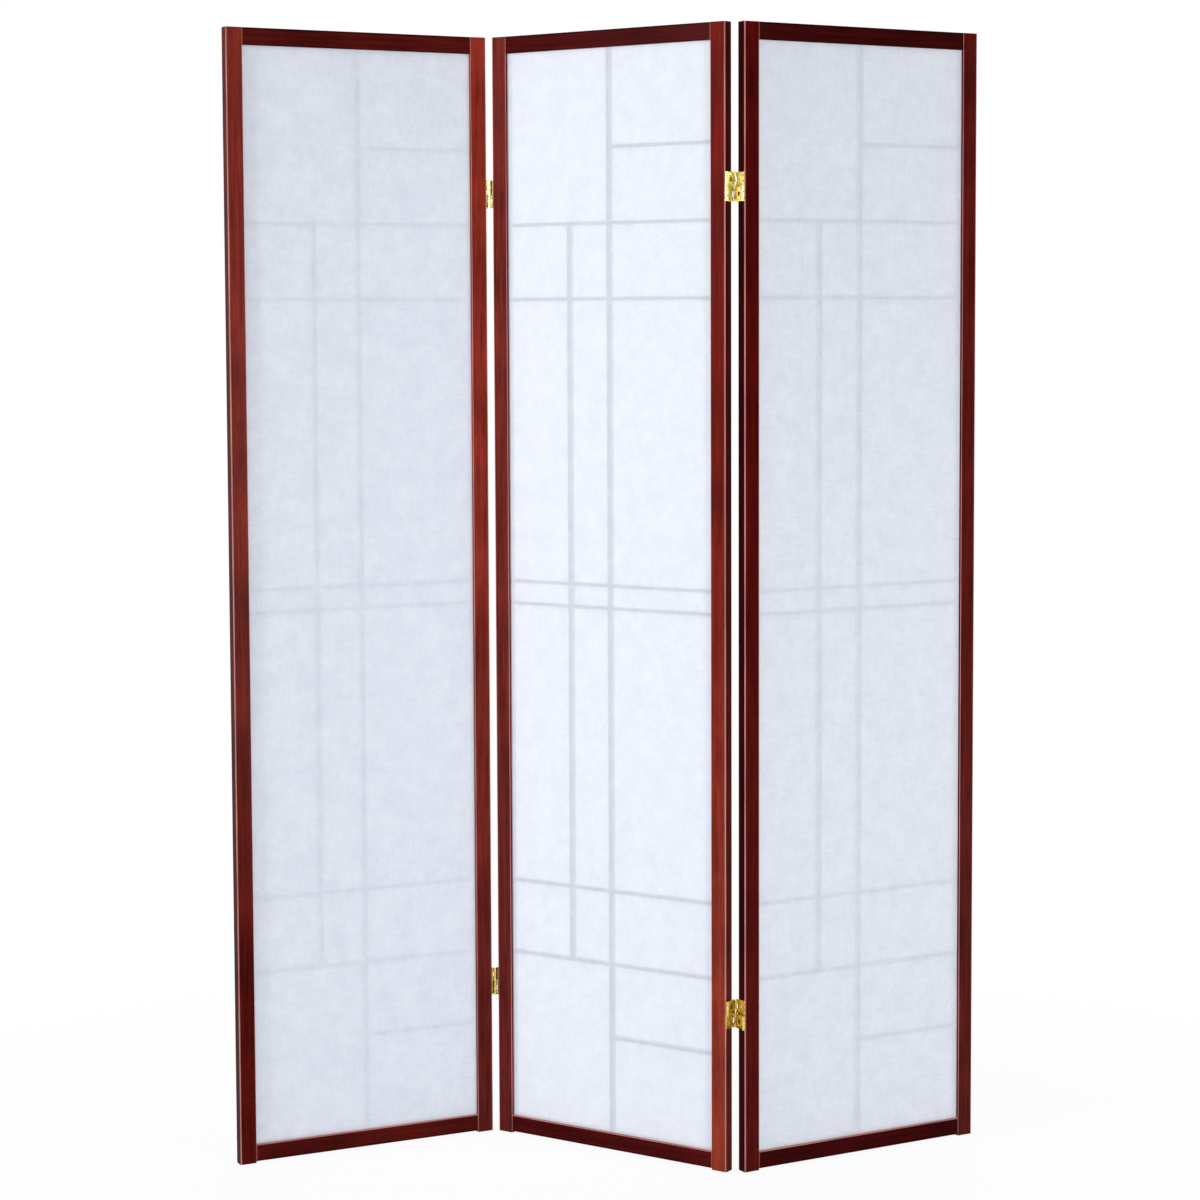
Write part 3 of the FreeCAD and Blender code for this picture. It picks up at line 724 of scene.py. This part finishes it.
def white_floor():
    """Pale floor that shows as white, and paler still away from the screen."""
    material, tree, surface = new_finish("white_floor")
    path = add_node(tree, "ShaderNodeLightPath")
    seen = add_node(tree, "ShaderNodeMath", {0: path.outputs["Is Camera Ray"],
                                             1: path.outputs["Is Glossy Ray"]}, operation="MAXIMUM")
    here = add_node(tree, "ShaderNodeTexCoord").outputs["Object"]
    away = add_node(tree, "ShaderNodeVectorMath", {0: here}, operation="LENGTH").outputs["Value"]
    bright = add_node(tree, "ShaderNodeMapRange", {"Value": away, "From Min": SHADOW_RADIUS,
                                                   "From Max": 2.2 * SHADOW_RADIUS,
                                                   "To Min": NEAR_WHITE, "To Max": 1.0})
    share = add_node(tree, "ShaderNodeMath", {0: seen.outputs[0], 1: bright.outputs["Result"]},
                     operation="MULTIPLY")
    surface.inputs["Base Color"].default_value = FLOOR_WHITE
    surface.inputs["Roughness"].default_value = 0.9
    white = add_node(tree, "ShaderNodeEmission", {"Color": (1, 1, 1, 1), "Strength": 1.0})
    both = add_node(tree, "ShaderNodeMixShader", {0: share.outputs[0], 1: surface.outputs["BSDF"],
                                                  2: white.outputs[0]})
    tree.links.new(both.outputs[0], tree.nodes["Material Output"].inputs["Surface"])
    return material


bpy.ops.mesh.primitive_circle_add(vertices=FLOOR_SIDES, radius=FLOOR_RADIUS, fill_type="NGON",
                                  location=(0, 0, FLOOR_HEIGHT))
floor = bpy.context.object
floor.name = "floor"
floor.data.materials.append(white_floor())

world = bpy.data.worlds.new("white_surround")
bpy.context.scene.world = world
world.use_nodes = True
sky = world.node_tree
path = add_node(sky, "ShaderNodeLightPath")
shown = add_node(sky, "ShaderNodeMath", {0: path.outputs["Is Camera Ray"],
                                         1: path.outputs["Is Glossy Ray"]}, operation="MAXIMUM")
shown = add_node(sky, "ShaderNodeMath", {0: shown.outputs[0],
                                         1: path.outputs["Is Transmission Ray"]}, operation="MAXIMUM")
level = add_node(sky, "ShaderNodeMix", {0: shown.outputs[0], 2: SURROUND_LEVEL, 3: 1.0}, data_type="FLOAT")
sky.nodes["Background"].inputs["Color"].default_value = (1, 1, 1, 1)
sky.links.new(level.outputs[0], sky.nodes["Background"].inputs["Strength"])


def soft_light(name, place, aim, size, power):
    """Broad area light aimed at a point."""
    lamp = bpy.data.lights.new(name, "AREA")
    lamp.shape = "RECTANGLE"
    lamp.size, lamp.size_y = size
    lamp.energy = power
    light = bpy.data.objects.new(name, lamp)
    light.location = place
    light.rotation_mode = "QUATERNION"
    light.rotation_quaternion = (Vector(place) - Vector(aim)).to_track_quat("Z", "Y")
    bpy.context.scene.collection.objects.link(light)
    return light


SCREEN_MIDDLE = (0, 0, 0.9)
LIGHTS = (                  # place, width and height, watts
    ("key_light", (-3.6, -2.6, 2.0), (0.5, 2.4), 103),
    ("fill_light", (2.2, -2.6, 0.7), (0.5, 1.4), 39.5),
    ("back_light", (0.6, 4.0, 1.9), (3.2, 2.6), 70),
)
for name, place, size, power in LIGHTS:
    soft_light(name, place, SCREEN_MIDDLE, size, power)

# ---- Camera ----
# Eye height about two thirds up the screen, a little right of its middle and looking
# slightly down, with the long lens that keeps the panels' edges nearly parallel.

LENS = 86.33
SENSOR_WIDTH = 36.0
CAMERA_PLACE = (0.2270, -4.5457, 1.3267)
HEADING = math.radians(3.00)
LOOK_DOWN = math.radians(4.30)
ROLL = math.radians(-0.24)
RISE = -0.05                # the picture was squared up, as by a lens slid down behind the front

camera = bpy.data.objects.new("camera", bpy.data.cameras.new("camera"))
bpy.context.scene.collection.objects.link(camera)
camera.data.lens = LENS
camera.data.sensor_width = SENSOR_WIDTH
camera.data.shift_y = RISE
camera.matrix_world = (Matrix.Translation(CAMERA_PLACE) @ Matrix.Rotation(HEADING, 4, "Z")
                       @ Matrix.Rotation(math.pi / 2 - LOOK_DOWN, 4, "X") @ Matrix.Rotation(ROLL, 4, "Z"))
bpy.context.scene.camera = camera
bpy.context.scene.view_settings.view_transform = "Standard"
